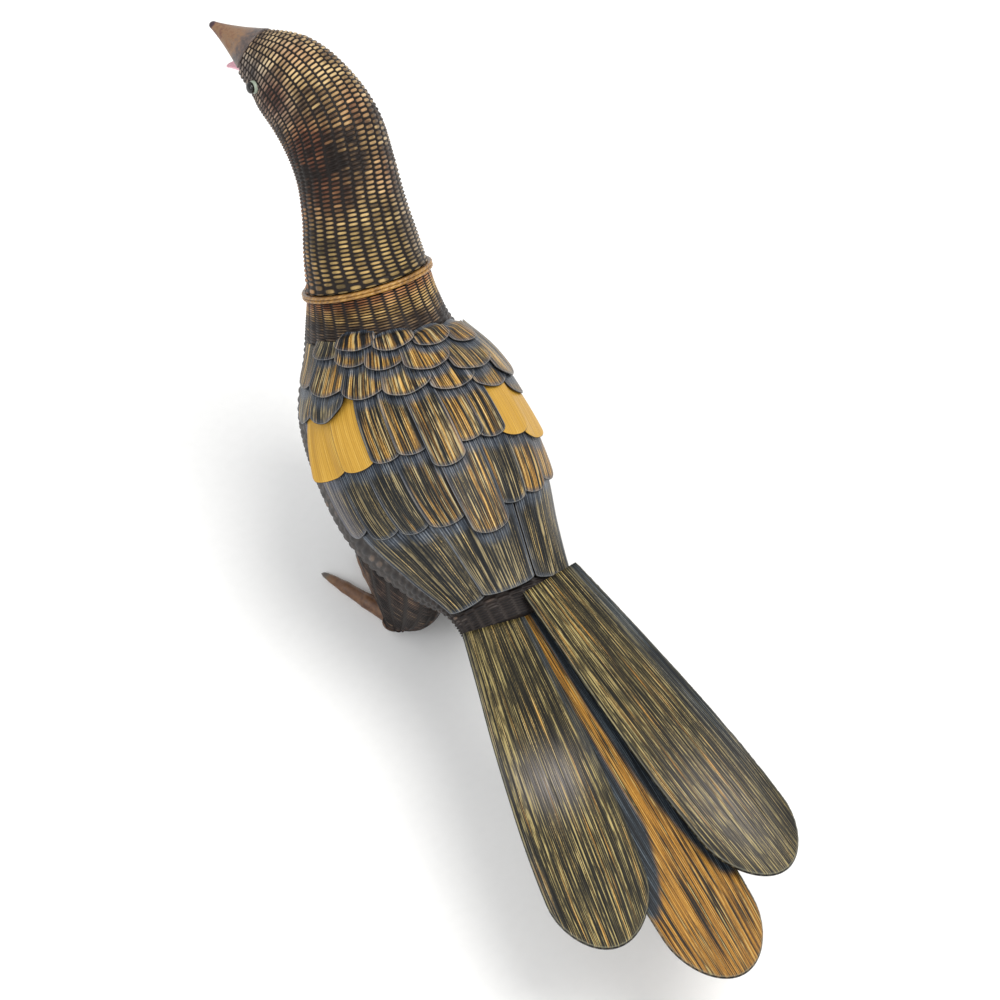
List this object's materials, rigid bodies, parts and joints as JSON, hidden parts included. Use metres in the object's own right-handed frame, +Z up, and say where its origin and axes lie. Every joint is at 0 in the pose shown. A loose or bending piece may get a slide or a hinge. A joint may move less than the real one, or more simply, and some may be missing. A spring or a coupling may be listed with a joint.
{
  "type": "wicker bird trinket box",
  "caption": "Woven bamboo bird standing on flat feet, hollow inside, with lacquered slats for feathers; its neck and head lift off as the lid.",
  "frame": {"origin": "on the ground under the middle of the bounding box", "axes": "+Z up, +Y along the tail, so the bird faces -Y and its own left side is +X"},
  "size_m": [0.0774, 0.301, 0.1474],
  "materials": {
    "wicker": "woven bamboo splint, dyed dark brown and rubbed",
    "rim": "golden bamboo splint, plaited",
    "slat": "bamboo slat, black lacquer rubbed through to gold, satin",
    "gold_slat": "bamboo slat, golden lacquer with dark streaks, satin",
    "tail_slat": "long bamboo slat, dark lacquer streaked with gold, satin",
    "beak": "painted wood, darker tip, semi-gloss",
    "mouth": "pink painted wood, semi-gloss",
    "eye": "black glass bead, glossy",
    "foot": "stained wood, semi-gloss"
  },
  "bodies": {
    "root": {"body_basket": "wicker", "covert_slat_1": "gold_slat", "covert_slat_2": "gold_slat", "covert_slat_3": "slat", "covert_slat_4": "slat", "covert_slat_5": "slat", "covert_slat_6": "slat", "covert_slat_7": "slat", "covert_slat_8": "gold_slat", "covert_slat_9": "gold_slat", "eye_left": "eye", "eye_right": "eye", "foot_left": "foot", "foot_right": "foot", "head_lid": "wicker", "lid_rim": "rim", "lower_beak": "mouth", "mantle_scallop_1": "slat", "mantle_scallop_2": "slat", "mantle_scallop_3": "slat", "mantle_scallop_4": "slat", "mantle_scallop_5": "slat", "mantle_scallop_6": "slat", "mantle_scallop_7": "slat", "nape_scallop_1": "slat", "nape_scallop_2": "slat", "nape_scallop_3": "slat", "nape_scallop_4": "slat", "rump_slat_1": "slat", "rump_slat_2": "slat", "rump_slat_3": "slat", "shoulder_scallop_1": "slat", "shoulder_scallop_2": "slat", "shoulder_scallop_3": "slat", "shoulder_scallop_4": "slat", "shoulder_scallop_5": "slat", "shoulder_scallop_6": "slat", "side_scallop_1": "slat", "side_scallop_2": "slat", "side_scallop_3": "slat", "tail_feather_left": "tail_slat", "tail_feather_middle": "tail_slat", "tail_feather_right": "tail_slat", "thigh_left": "wicker", "thigh_right": "wicker", "upper_beak": "beak", "wing_slat_1": "slat", "wing_slat_2": "slat", "wing_slat_3": "slat", "wing_slat_4": "slat", "wing_slat_5": "slat", "wing_slat_6": "slat", "wing_slat_7": "slat", "wing_slat_8": "slat", "wing_slat_9": "slat"}
  },
  "joints": []
}
